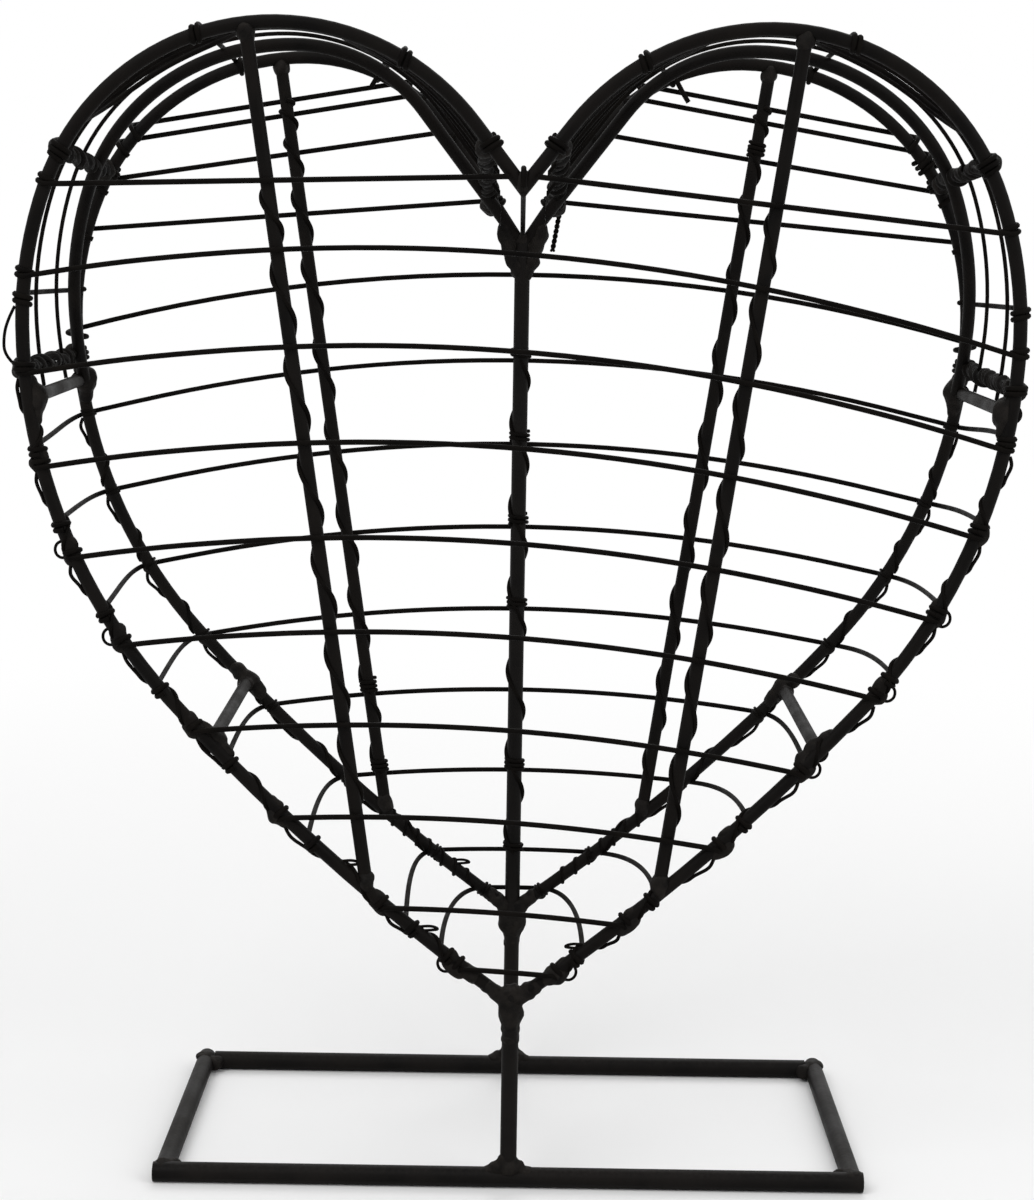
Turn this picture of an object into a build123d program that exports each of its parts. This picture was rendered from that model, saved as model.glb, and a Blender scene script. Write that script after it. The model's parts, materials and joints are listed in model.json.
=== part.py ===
from build123d import *
from math import asin, ceil, cos, degrees, floor, pi, radians, sin, tan
import os

# A free-standing heart cage of welded rod and tied wire, on a rectangular foot.
# Millimetres. The front faces -Y, the ground is Z = 0 and the origin is under the middle.

# Stock diameters
base_bar_diameter = 6.0
stem_diameter = 5.0
rod_diameter = 4.0
wire_diameter = 1.6
lashing_diameter = 1.0

# Fits
joint_gap = 0.1
wire_clearance = 0.2
turn_gap = 0.6
corner_share = 0.96

# Foot and depth of the cage
base_length = 214.0
heart_depth = 100.0

# Heart outline, on the rods' centrelines. Drops are measured down from the crown.
crown_height = 342.0
crown_offset = 70.0
widest_drop = 86.0
tip_height = 57.5
shoulder_turn = 20.0
flank_turn = 42.0
tip_turn = 54.4
front_half_width = 142.7
front_cleft_drop = 45.0
front_cleft_angle = 52.0
back_half_width = 145.5
back_crown_drop = 2.5
back_cleft_drop = 62.0
back_cleft_angle = 56.4

# Ribs, straight rods inside each outline
rib_top_offset = 79.0
rib_foot_offset = 43.0

# Spacers from the front outline to the back one, with a weld inside each end
upper_spacer_drop = 107.0
lower_spacer_drop = 207.0
weld_radius = 3.0
weld_length = 1.6
base_weld_radius = 2.6

# Rim over each lobe: one rod and two wires that lean forward from the upper spacer
rim_rod_lean = 20.0
front_rim_wire_setback = 36.0
front_rim_wire_lean = 12.0
back_rim_wire_setback = 72.0
back_rim_wire_lean = 20.0
rim_wire_diameter = 1.2
rim_end_offset = 7.0

# Courses, the wires across each face
course_pitch = 27.6
front_course_drop = 63.3
front_course_bow = 560.0
front_course_slope = -0.065
front_tip_course_rise = 10.1
back_course_drop = 70.9
back_course_bow = 520.0
back_tip_course_rise = 7.0
tip_course_margin = 12.0

# Courses in the back lobes: drop at the crown's offset, and rise per millimetre outward
lobe_courses = [(14.9, -0.17), (19.5, -0.17), (32.1, -0.155), (52.1, -0.085)]

# Top courses of the front, in the same way, each from its flank to this far from the middle
front_top_courses = {"left": (44.0, -0.031), "right": (48.8, -0.104)}
front_top_end_offset = 4.0

# Side wires, set off along the outline from the ends of the back courses
side_wire_courses = ("course_3", "course_4", "course_5", "course_7")
side_wire_back_rise = 5.0
side_wire_front_rise = 10.0
side_wire_bulge = 6.0
side_wire_bulge_setback = 12.0

# Ties over the lobes, by the direction that the outline faces there, in degrees
low_tie_lead_angle = 1.3
middle_tie_lead_angle = 8.6
middle_tie_back_angle = 1.0
high_tie_angle = 72.0
inner_tie_front_offset = 35.0
inner_tie_back_offset = 46.0
tie_front_turns = 2
tie_back_turns = 1
cleft_tie_drop = 6.0

# Lashings on the ribs start and end this far from the rib's ends
lashing_margin = 12.0

# Worked out from the sizes above
widest_height = crown_height - widest_drop
front_cleft_height = crown_height - front_cleft_drop
back_cleft_height = crown_height - back_cleft_drop
upper_spacer_height = crown_height - upper_spacer_drop
lower_spacer_height = crown_height - lower_spacer_drop
base_radius = base_bar_diameter / 2
stem_radius = stem_diameter / 2
rod_radius = rod_diameter / 2
wire_radius = wire_diameter / 2
front_y = -heart_depth / 2
back_y = heart_depth / 2
wrap_reach = rod_radius + wire_radius + wire_clearance
back_reach = stem_radius + wire_radius + wire_clearance
wrap_step = (wire_diameter + turn_gap) / 3


class HalfHeart:
    # Half of a heart outline in its own plane: a straight run up from the cleft, an arc to the
    # crown, two arcs round the shoulder to the widest point and two arcs down the flank.
    def __init__(self, half_width, crown, widest, tip, cleft, cleft_angle):
        shoulder = radians(shoulder_turn)
        flank = radians(flank_turn)
        point = radians(tip_turn)
        slant = radians(cleft_angle)
        reach = half_width - crown_offset
        drop = crown - widest
        split = cos(shoulder) + sin(shoulder) - 1
        lobe_radius = (reach * sin(shoulder) - drop * (1 - cos(shoulder))) / split
        shoulder_radius = (drop * cos(shoulder) - reach * (1 - sin(shoulder))) / split
        fall = widest - tip
        across = cos(flank) - cos(point)
        down = sin(point) - sin(flank)
        spread = sin(flank) * across - (1 - cos(flank)) * down
        flank_radius = (fall * across - half_width * down) / spread
        lower_radius = (half_width * sin(flank) - fall * (1 - cos(flank))) / spread
        inner_radius = (crown_offset * tan(slant) - (crown - cleft)) / (1 / cos(slant) - 1)
        turn = flank_radius - lower_radius
        flank_x = half_width - flank_radius
        self.cleft = cleft
        self.slant = slant
        self.flank_radius = flank_radius
        self.widest = widest
        # Each bend: outward direction at its start and end, centre, radius
        self.bends = [
            (90 + cleft_angle, 90, crown_offset, crown - inner_radius, inner_radius),
            (90, shoulder_turn, crown_offset, crown - lobe_radius, lobe_radius),
            (shoulder_turn, 0, half_width - shoulder_radius, widest, shoulder_radius),
            (0, -flank_turn, flank_x, widest, flank_radius),
            (-flank_turn, -tip_turn, flank_x + turn * cos(flank), widest - turn * sin(flank), lower_radius),
        ]

    def at(self, angle):
        # The point where the outline faces this direction
        for start, end, x, z, radius in self.bends:
            if end <= angle <= start:
                return x + radius * cos(radians(angle)), z + radius * sin(radians(angle))

    def inner(self, x):
        # The height and the direction faced at this distance from the middle, between cleft and crown
        start, end, centre_x, centre_z, radius = self.bends[0]
        if x < centre_x - radius * sin(self.slant):
            return self.cleft + x * tan(self.slant), start
        lean = asin((centre_x - x) / radius)
        return centre_z + radius * cos(lean), 90 + degrees(lean)

    def outer_crossing(self, height):
        # Where a curve, given as height over distance from the middle, meets the outer side
        low, high = -tip_turn, 90
        for step in range(50):
            middle = (low + high) / 2
            x, z = self.at(middle)
            if z > height(x):
                high = middle
            else:
                low = middle
        return *self.at(low), low

    def inner_crossing(self, height):
        # Where such a curve meets the side between the cleft and the crown
        low, high = 0, crown_offset
        for step in range(50):
            middle = (low + high) / 2
            if self.inner(middle)[0] > height(middle):
                high = middle
            else:
                low = middle
        return low, *self.inner(low)

    def path(self, place, lead, last_angle, offset=0):
        # The run of edges from the cleft to a direction on the flank, moved outward by the offset
        def spot(angle, bend):
            x, z, radius = bend[2:]
            return place(x + (radius + offset) * cos(radians(angle)), z + (radius + offset) * sin(radians(angle)))

        first = self.bends[0]
        foot_x = -lead * cos(self.slant) - offset * sin(self.slant)
        foot_z = self.cleft - lead * sin(self.slant) + offset * cos(self.slant)
        edges = [Line(place(foot_x, foot_z), spot(first[0], first))]
        for bend in self.bends:
            end = max(bend[1], last_angle)
            if bend[0] > end:
                edges.append(ThreePointArc(spot(bend[0], bend), spot((bend[0] + end) / 2, bend), spot(end, bend)))
        return Wire([edge.edge() for edge in edges])


front_heart = HalfHeart(
    front_half_width, crown_height, widest_height, tip_height, front_cleft_height, front_cleft_angle
)
back_heart = HalfHeart(
    back_half_width,
    crown_height - back_crown_drop,
    widest_height,
    tip_height,
    back_cleft_height,
    back_cleft_angle,
)
sides = {"left": -1, "right": 1}
faces = {"front": (front_heart, front_y, -1), "back": (back_heart, back_y, 1)}
nodes = {}
wound = {}


def tube(path, diameter):
    return sweep(Plane(origin=path @ 0, z_dir=path % 0) * Circle(diameter / 2), path=path)


def straight(start, end, diameter):
    return tube(Wire([Line(start, end).edge()]), diameter)


def bent_wire(points, radii, diameter):
    # A round wire along straight runs with rounded corners
    path = FilletPolyline(*points, radius=radii).wire()
    solid = tube(path, diameter)
    wound.setdefault("volume", []).append(solid.volume / (path.length * pi * diameter**2 / 4))
    wound.setdefault("gap", []).append(least_gap(path, diameter))
    return solid


def least_gap(path, diameter):
    # The least space between two stretches of one wire that are apart along it
    count = ceil(path.length / diameter)
    apart = 5
    spots = [path @ (index / count) for index in range(count + 1)]
    gaps = [
        (spots[index] - other).length - diameter
        for index in range(len(spots))
        for other in spots[index + apart:]
    ]
    return min(gaps, default=path.length)


def joined(solids):
    return Compound(children=list(solids))


def half_space(sign, offset):
    # Everything on one side of the middle, past an offset from it
    size = 4 * crown_height
    return Pos(sign * (size / 2 + offset), 0, 0) * Box(size, size, size)


def frame_at(x, z, angle, sign, y):
    # A point on an outline with the outward and the along directions there
    turn = radians(angle)
    spot = Vector(sign * x, y, z)
    outward = Vector(sign * cos(turn), 0, sin(turn))
    along = Vector(-sign * sin(turn), 0, cos(turn))
    return spot, outward, along


def build_base():
    # Two long bars, and two side bars that are coped against the front one
    half = base_length / 2
    side_x = half - base_radius
    inner_half = side_x - base_radius - joint_gap
    nodes["base_front_bar"] = straight((-half, front_y, base_radius), (half, front_y, base_radius), base_bar_diameter)
    nodes["base_back_bar"] = straight(
        (-inner_half, back_y, base_radius), (inner_half, back_y, base_radius), base_bar_diameter
    )
    front_seat = straight(
        (-base_length, front_y, base_radius), (base_length, front_y, base_radius), base_bar_diameter + 2 * joint_gap
    )
    back_seat = Pos(0, back_y - front_y, 0) * front_seat
    start = (side_x, front_y, base_radius)
    end = (side_x, back_y + base_radius, base_radius)
    nodes["base_right_bar"] = straight(start, end, base_bar_diameter) - front_seat
    nodes["base_left_bar"] = mirror(nodes["base_right_bar"], about=Plane.YZ)
    side_seat = straight(start, end, base_bar_diameter + 2 * joint_gap)
    welds = []
    for y, inward, seat in ((front_y, 1, front_seat), (back_y, -1, back_seat)):
        spot = Pos(side_x - base_radius, y + inward * base_radius, base_radius)
        lump = spot * Cylinder(base_weld_radius, base_radius) - seat - side_seat
        inner = min(lump.solids(), key=lambda solid: solid.center().X)
        welds += [inner, mirror(inner, about=Plane.YZ)]
    nodes["base_corner_welds"] = joined(welds)


def build_stems():
    # The front leg carries the front tip, and the back spine runs from the foot to the back cleft
    leg_top = tip_height + rod_diameter
    spine_top = back_cleft_height + rod_radius
    welds = []
    for name, y, top in (("front_leg", front_y, leg_top), ("back_spine", back_y, spine_top)):
        seat = straight(
            (-base_length, y, base_radius), (base_length, y, base_radius), base_bar_diameter + 2 * joint_gap
        )
        nodes[name] = straight((0, y, base_radius), (0, y, top), stem_diameter) - seat
        stem_seat = straight((0, y, 0), (0, y, top), stem_diameter + 2 * joint_gap)
        for sign in sides.values():
            lump = Pos(sign * stem_radius, y, base_bar_diameter) * Sphere(weld_radius) - seat - stem_seat
            welds.append(max(lump.solids(), key=lambda solid: sign * solid.center().X))
    nodes["leg_foot_welds"] = joined(welds)


def outline_place(sign, y):
    return lambda x, z: Vector(sign * x, y, z)


def build_outlines():
    # Returns each rod grown by the joint gap, which the pieces that end on it are cut to
    seats = {}
    for face, (heart, y, outside) in faces.items():
        stem = nodes["front_leg"] if face == "front" else nodes["back_spine"]
        stem_seat = straight((0, y, 0), (0, y, stem.bounding_box().max.Z), stem_diameter + 2 * joint_gap)
        for side, sign in sides.items():
            path = heart.path(outline_place(sign, y), rod_diameter, -tip_turn)
            nodes[f"{face}_heart_{side}_rod"] = (tube(path, rod_diameter) & half_space(sign, joint_gap / 2)) - stem_seat
            seats[face, side] = tube(path, rod_diameter + 2 * joint_gap)
    return seats


def rib_ends(heart):
    # The heights of the lobe and of the flank at the rib's two offsets
    lobe_x, lobe_z, lobe_radius = heart.bends[1][2:]
    top_z = lobe_z + (lobe_radius**2 - (rib_top_offset - lobe_x) ** 2) ** 0.5
    low_x, low_z, low_radius = heart.bends[4][2:]
    foot_z = low_z - (low_radius**2 - (rib_foot_offset - low_x) ** 2) ** 0.5
    return top_z, foot_z


def build_ribs(seats):
    for face, (heart, y, outside) in faces.items():
        top_z, foot_z = rib_ends(heart)
        for side, sign in sides.items():
            line = straight((sign * rib_foot_offset, y, foot_z), (sign * rib_top_offset, y, top_z), rod_diameter)
            nodes[f"{face}_{side}_rib"] = line - seats[face, side]


def level_crossing(heart, height):
    return heart.outer_crossing(lambda x: height)


def build_spacers():
    # Returns the spacers grown by the joint gap, for the rim pieces that stand on the upper ones
    grown = {}
    for level, height in (("upper", upper_spacer_height), ("lower", lower_spacer_height)):
        start, front_outward, front_along = frame_at(*level_crossing(front_heart, height), 1, front_y)
        end, back_outward, back_along = frame_at(*level_crossing(back_heart, height), 1, back_y)
        line = (end - start).normalized()
        bar = straight(start, end, rod_diameter)
        bar += straight(start, start + line * (rod_radius + weld_length), 2 * weld_radius)
        bar += straight(end, end - line * (rod_radius + weld_length), 2 * weld_radius)
        for spot, along in ((start, front_along), (end, back_along)):
            half = along * rod_diameter * 2
            bar -= straight(spot - half, spot + half, rod_diameter + 2 * joint_gap)
        nodes[f"{level}_right_spacer"] = max(bar.solids(), key=lambda solid: solid.volume)
        nodes[f"{level}_left_spacer"] = mirror(nodes[f"{level}_right_spacer"], about=Plane.YZ)
        grown[level, "right"] = straight(start, end, rod_diameter + 2 * joint_gap)
        grown[level, "left"] = mirror(grown[level, "right"], about=Plane.YZ)
    return grown


def rim_path(sign, foot_y, lean, offset):
    # A lobe arch in a plane that leans forward from the upper spacer
    slope = radians(lean)
    fall = (back_cleft_height - front_cleft_height) / heart_depth
    cleft = front_cleft_height + fall * (foot_y - front_y + upper_spacer_height * tan(slope))
    cleft /= 1 + fall * tan(slope)

    def rise(height):
        return (height - upper_spacer_height) / cos(slope)

    def place(x, up):
        return Vector(sign * x, foot_y - up * sin(slope), upper_spacer_height + up * cos(slope))

    angle = (front_cleft_angle + back_cleft_angle) / 2
    arch = HalfHeart(back_half_width, rise(crown_height), rise(widest_height), rise(tip_height), rise(cleft), angle)
    last_angle = -degrees(asin(arch.widest / arch.flank_radius))
    return arch.path(place, rod_diameter, last_angle, offset)


def build_rim(spacers):
    # A rod and two wires over each lobe, under the ties
    rod_foot_y = back_y - rod_radius - weld_length - rod_radius - joint_gap
    wires = [
        (front_y + front_rim_wire_setback, front_rim_wire_lean),
        (front_y + back_rim_wire_setback, back_rim_wire_lean),
    ]
    for side, sign in sides.items():
        keep = half_space(sign, rim_end_offset)
        arch = tube(rim_path(sign, rod_foot_y, rim_rod_lean, -rod_radius), rod_diameter)
        nodes[f"{side}_rim_rod"] = (arch & keep) - spacers["upper", side]
        arches = [tube(rim_path(sign, y, lean, -rim_wire_diameter / 2), rim_wire_diameter) for y, lean in wires]
        nodes[f"{side}_rim_wires"] = joined((arch & keep) - spacers["upper", side] for arch in arches)


def wrap(end, sign, y, outside, reach, run, full):
    # A wire's end round an outline rod: a full turn, or only a hook to the far side
    spot, outward, along = frame_at(*end, sign, y)
    face = Vector(0, outside, 0)
    step = along * wrap_step * (1 if run.dot(along) >= 0 else -1)
    lead = outward * wrap_reach if full else run * (wrap_reach / run.dot(outward))
    first = spot + face * reach + lead
    second = first - face * (reach + wrap_reach) + step
    third = second - outward * (2 * wrap_reach) + step
    if not full:
        return [first, second, third]
    fourth = third + face * (2 * wrap_reach) + step
    return [first, second, third, fourth, fourth + outward * (wrap_reach + wire_radius)]


def rounded(points, broad=()):
    # A radius for each corner: the broad ones take the whole run, the others half of each side
    radii = []
    last = len(points) - 1
    for index in range(1, last):
        before = points[index] - points[index - 1]
        after = points[index + 1] - points[index]
        if index in broad:
            room = min(before.length, after.length) - wrap_reach - wire_radius
        else:
            first_share = 1 if index == 1 else 0.5
            last_share = 1 if index == last - 1 else 0.5
            room = corner_share * min(before.length * first_share, after.length * last_share)
        radii.append(room / tan(radians(before.get_angle(after)) / 2))
    return radii


def face_rows(face):
    # Each course of a face: name, height in the middle, radius of its bow, slope
    front = face == "front"
    first = crown_height - (front_course_drop if front else back_course_drop)
    bow = front_course_bow if front else back_course_bow
    slope = front_course_slope if front else 0
    count = floor((first - tip_height - tip_course_margin) / course_pitch) + 1
    rows = [(f"course_{index + 1}", first - index * course_pitch, bow, slope) for index in range(count)]
    rows.append(("tip_course", tip_height + (front_tip_course_rise if front else back_tip_course_rise), bow, slope))
    return rows


def row_end(heart, row, sign):
    middle, bow, slope = row[1:]
    return heart.outer_crossing(lambda x: middle + slope * sign * x - x**2 / (2 * bow))


def build_courses():
    # Wires across each face, each bent in one broad arc between the turns at its two ends
    for face, (heart, y, outside) in faces.items():
        reach = wrap_reach if face == "front" else back_reach
        wire_y = y + outside * reach
        for row in face_rows(face):
            name, middle, bow, slope = row
            ends = {sign: row_end(heart, row, sign) for sign in sides.values()}
            left_x, right_x = -ends[-1][0], ends[1][0]
            centre = (left_x + right_x) / 2
            apex = Vector(centre, wire_y, middle + slope * centre - left_x * right_x / (2 * bow))
            wraps = []
            for sign, end in ends.items():
                run = (Vector(sign * end[0], wire_y, end[1]) - apex).normalized()
                wraps.append(wrap(end, sign, y, outside, reach, run, True))
            points = [*reversed(wraps[0]), apex, *wraps[1]]
            nodes[f"{face}_{name}"] = bent_wire(points, rounded(points, [len(wraps[0])]), wire_diameter)


def lobe_height(row):
    drop, slope = row
    return lambda x: crown_height - drop + slope * (x - crown_offset)


def build_lobe_courses():
    # Straight wires across each back lobe, hooked over the rod at both ends
    wire_y = back_y + back_reach
    for side, sign in sides.items():
        wires = []
        for row in lobe_courses:
            inner = back_heart.inner_crossing(lobe_height(row))
            outer = back_heart.outer_crossing(lobe_height(row))
            run = Vector(sign * (outer[0] - inner[0]), 0, outer[1] - inner[1]).normalized()
            start = wrap(inner, sign, back_y, 1, back_reach, run * -1, False)
            end = wrap(outer, sign, back_y, 1, back_reach, run, False)
            points = [*reversed(start), *end]
            wires.append(bent_wire(points, rounded(points), wire_diameter))
        nodes[f"back_{side}_lobe_courses"] = joined(wires)


def build_top_courses():
    # A straight wire in each front lobe, wound round the flank's rod, with its end across the rod by the cleft
    wire_y = front_y - wrap_reach
    for side, sign in sides.items():
        height = lobe_height(front_top_courses[side])
        outer = front_heart.outer_crossing(height)
        inner_end = Vector(sign * front_top_end_offset, wire_y, height(front_top_end_offset))
        run = (Vector(sign * outer[0], wire_y, outer[1]) - inner_end).normalized()
        points = [inner_end, *wrap(outer, sign, front_y, -1, wrap_reach, run, True)]
        nodes[f"front_{side}_top_course"] = bent_wire(points, rounded(points), wire_diameter)


def tie_points(front, back, front_turns, back_turns, through=(), step=wrap_step):
    # A wire from the front rod to the back rod, with turns round each. The corners of a turn go
    # over the outside from front to back, and come forward again on the inside.
    corners = [(1, -1), (1, 1), (-1, 1), (-1, -1)]

    def corner(frame, index, steps):
        spot, outward, along = frame
        out, rear = corners[index % 4]
        return spot + outward * (out * wrap_reach) + Vector(0, rear * wrap_reach, 0) + along * (steps * step)

    start = -4 * front_turns
    end = 4 * back_turns + 1
    first = [corner(front, index, index) for index in range(start, 1)]
    second = [corner(back, index, index - 1) for index in range(1, end + 1)]
    first_tail = (corner(front, start - 1, start - 1) + first[0]) / 2
    second_tail = (corner(back, end + 1, end) + second[-1]) / 2
    return [first_tail, *first, *through, *second, second_tail]


def outer_tie_angles():
    # The low tie is midway between the course ends above and below it, and the middle one above them
    top = {sign: front_heart.outer_crossing(lobe_height(front_top_courses[side]))[2] for side, sign in sides.items()}
    first, second = [
        {sign: row_end(front_heart, row, sign)[2] for sign in sides.values()} for row in face_rows("front")[:2]
    ]
    low = (min(top[1], first[-1]) + max(first[1], second[-1])) / 2 + low_tie_lead_angle
    middle = top[-1] + middle_tie_lead_angle
    return [(low, low), (middle, middle + middle_tie_back_angle), (high_tie_angle, high_tie_angle)]


def build_ties():
    for side, sign in sides.items():
        ties = []
        for front_angle, back_angle in outer_tie_angles():
            front = frame_at(*front_heart.at(front_angle), front_angle, sign, front_y)
            back = frame_at(*back_heart.at(back_angle), back_angle, sign, back_y)
            ties.append(tie_points(front, back, tie_front_turns, tie_back_turns))
        front = frame_at(inner_tie_front_offset, *front_heart.inner(inner_tie_front_offset), sign, front_y)
        back = frame_at(inner_tie_back_offset, *back_heart.inner(inner_tie_back_offset), sign, back_y)
        ties.append(tie_points(front, back, tie_front_turns, tie_back_turns, step=-wrap_step))
        nodes[f"{side}_ties"] = joined(bent_wire(points, rounded(points), wire_diameter) for points in ties)


def build_cleft_tie():
    # A wire that lies in the front and the back cleft, with both ends turned down
    back_z = back_cleft_height + wrap_reach / cos(radians(back_cleft_angle))
    seat_z = front_cleft_height + wrap_reach / cos(radians(front_cleft_angle))
    slope = (seat_z - back_z) / heart_depth
    front_z = seat_z + slope * (wrap_reach + rod_diameter)
    points = [
        Vector(0, front_y - wrap_reach, front_z - cleft_tie_drop),
        Vector(0, front_y - wrap_reach, front_z),
        Vector(0, back_y + back_reach, back_z),
        Vector(0, back_y + back_reach, back_z - cleft_tie_drop),
    ]
    nodes["cleft_tie"] = bent_wire(points, wrap_reach, wire_diameter)


def build_side_wires():
    # Wires along the flanks, from the back rod out and forward to the front rod
    for side, sign in sides.items():
        wires = []
        for row in face_rows("back"):
            if row[0] not in side_wire_courses:
                continue
            x, z, angle = row_end(back_heart, row, sign)
            lift = cos(radians(angle))
            back = frame_at(*level_crossing(back_heart, z + side_wire_back_rise * lift), sign, back_y)
            front = frame_at(*level_crossing(front_heart, z + side_wire_front_rise * lift), sign, front_y)
            bulge = back[0] + back[1] * (wrap_reach + side_wire_bulge) - Vector(0, side_wire_bulge_setback, 0)
            points = tie_points(front, back, 0, 0, [bulge])
            wires.append(bent_wire(points, rounded(points, [2]), wire_diameter))
        nodes[f"{side}_side_wires"] = joined(wires)


def lashing(foot, axis, inward, stops, reach):
    # A thin wire that winds once round a rod between stops, and is inside the cage at each stop
    across = inward.cross(axis)
    corners = [(stops[0] - (stops[1] - stops[0]) / 8, -45)]
    for low, high in zip(stops, stops[1:]):
        corners += [(low + (high - low) * eighth / 8, 45 * eighth) for eighth in (1, 3, 5, 7)]
    corners.append((stops[-1] + (stops[-1] - stops[-2]) / 8, 45))
    points = []
    for along, angle in corners:
        turn = radians(angle)
        points.append(foot + axis * along + (inward * cos(turn) + across * sin(turn)) * (reach * 2**0.5))
    return bent_wire(points, rounded(points), lashing_diameter)


def rib_stops(face, side, foot, axis, length):
    # Where the courses of a face pass a rib, measured along it from its foot
    curves = [
        lambda x, row=row: row[1] + row[3] * sides[side] * x - x**2 / (2 * row[2]) for row in face_rows(face)
    ]
    rows = lobe_courses if face == "back" else [front_top_courses[side]]
    curves += [lobe_height(row) for row in rows]
    stops = []
    for curve in curves:
        low, high = 0, length
        for step in range(50):
            middle = (low + high) / 2
            spot = foot + axis * middle
            if spot.Z > curve(abs(spot.X)):
                high = middle
            else:
                low = middle
        if lashing_margin < low < length - lashing_margin:
            stops.append(low)
    return sorted(stops)


def build_lashings():
    rib_reach = rod_radius + lashing_diameter / 2 + wire_clearance
    for face, (heart, y, outside) in faces.items():
        top_z, foot_z = rib_ends(heart)
        for side, sign in sides.items():
            foot = Vector(sign * rib_foot_offset, y, foot_z)
            line = Vector(sign * rib_top_offset, y, top_z) - foot
            axis = line.normalized()
            stops = rib_stops(face, side, foot, axis, line.length)
            nodes[f"{face}_{side}_rib_lashing"] = lashing(foot, axis, Vector(0, -outside, 0), stops, rib_reach)
    spine_reach = stem_radius + lashing_diameter / 2 + wire_clearance
    stops = sorted(row[1] for row in face_rows("back")[:-1])
    nodes["spine_lashing"] = lashing(Vector(0, back_y, 0), Vector(0, 0, 1), Vector(0, -1, 0), stops, spine_reach)


def build():
    build_base()
    build_stems()
    seats = build_outlines()
    build_ribs(seats)
    build_rim(build_spacers())
    build_courses()
    build_lobe_courses()
    build_top_courses()
    build_ties()
    build_cleft_tie()
    build_side_wires()
    build_lashings()


build()
os.makedirs("parts", exist_ok=True)
for name, solid in nodes.items():
    export_step(solid, f"parts/{name}.step")
print("nodes:", len(nodes))
print("least gap of a wire to itself:", round(min(wound["gap"]), 2))
print("volume over section times length:", round(min(wound["volume"]), 4), round(max(wound["volume"]), 4))
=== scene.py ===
import bpy, bmesh, json
from math import radians, pi, sin, cos, tan, asin
from mathutils import Matrix, Vector, noise


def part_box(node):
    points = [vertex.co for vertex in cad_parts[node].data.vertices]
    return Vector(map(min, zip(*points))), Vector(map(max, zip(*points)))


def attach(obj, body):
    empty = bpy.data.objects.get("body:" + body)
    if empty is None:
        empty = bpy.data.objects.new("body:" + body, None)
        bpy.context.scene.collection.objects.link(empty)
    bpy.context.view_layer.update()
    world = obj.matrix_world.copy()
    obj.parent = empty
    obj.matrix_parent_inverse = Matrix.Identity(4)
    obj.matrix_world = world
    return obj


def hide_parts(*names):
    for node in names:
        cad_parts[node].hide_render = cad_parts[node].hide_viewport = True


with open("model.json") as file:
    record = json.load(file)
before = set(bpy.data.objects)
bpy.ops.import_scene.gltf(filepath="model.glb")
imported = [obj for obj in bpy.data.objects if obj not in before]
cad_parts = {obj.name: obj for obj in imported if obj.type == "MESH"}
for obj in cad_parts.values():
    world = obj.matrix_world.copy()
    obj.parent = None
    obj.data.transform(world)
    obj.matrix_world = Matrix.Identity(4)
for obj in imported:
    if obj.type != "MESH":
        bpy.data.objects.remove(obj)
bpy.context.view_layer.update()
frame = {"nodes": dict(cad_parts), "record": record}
nodes = frame["nodes"]
scene = bpy.context.scene
print("frame loaded:", len(nodes), "nodes")

# camera: long lens, a little above the cleft, tipped down, picture turned slightly
cameraSet = {
    "place": (0.0, -0.740, 0.282),
    "lens": 72.0,
    "sensor": 36.0,
    "tipDown": 8.5,
    "roll": 0.9,
}


def makeCamera(s):
    data = bpy.data.cameras.new("viewCamera")
    data.sensor_width = s["sensor"]
    data.lens = s["lens"]
    cam = bpy.data.objects.new("viewCamera", data)
    tilt = Matrix.Rotation(radians(90 - s["tipDown"]), 4, "X")
    turn = tilt @ Matrix.Rotation(radians(s["roll"]), 4, "Z")
    cam.matrix_world = Matrix.Translation(s["place"]) @ turn
    scene.collection.objects.link(cam)
    scene.camera = cam


makeCamera(cameraSet)
print("camera set")

# floor, world and lamps
stageSet = {
    "floorHalf": 6.0,
    "floorColor": (0.95, 0.95, 0.95, 1),
    "floorRough": 0.9,
    "floorSpec": 0.1,
    "fade": (0.25, 0.9),
    "worldFill": 0.55,
    "lamps": [
        {"name": "keyPanel", "place": (-0.9, -1.1, 1.6), "aim": (0, 0, 0.18), "size": 1.3, "power": 14},
        {"name": "fillPanel", "place": (1.3, -0.9, 1.1), "aim": (0, 0, 0.18), "size": 1.4, "power": 8},
        {"name": "rearPanel", "place": (0.2, 1.3, 1.4), "aim": (0, 0, 0.2), "size": 1.2, "power": 8},
    ],
}


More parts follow.
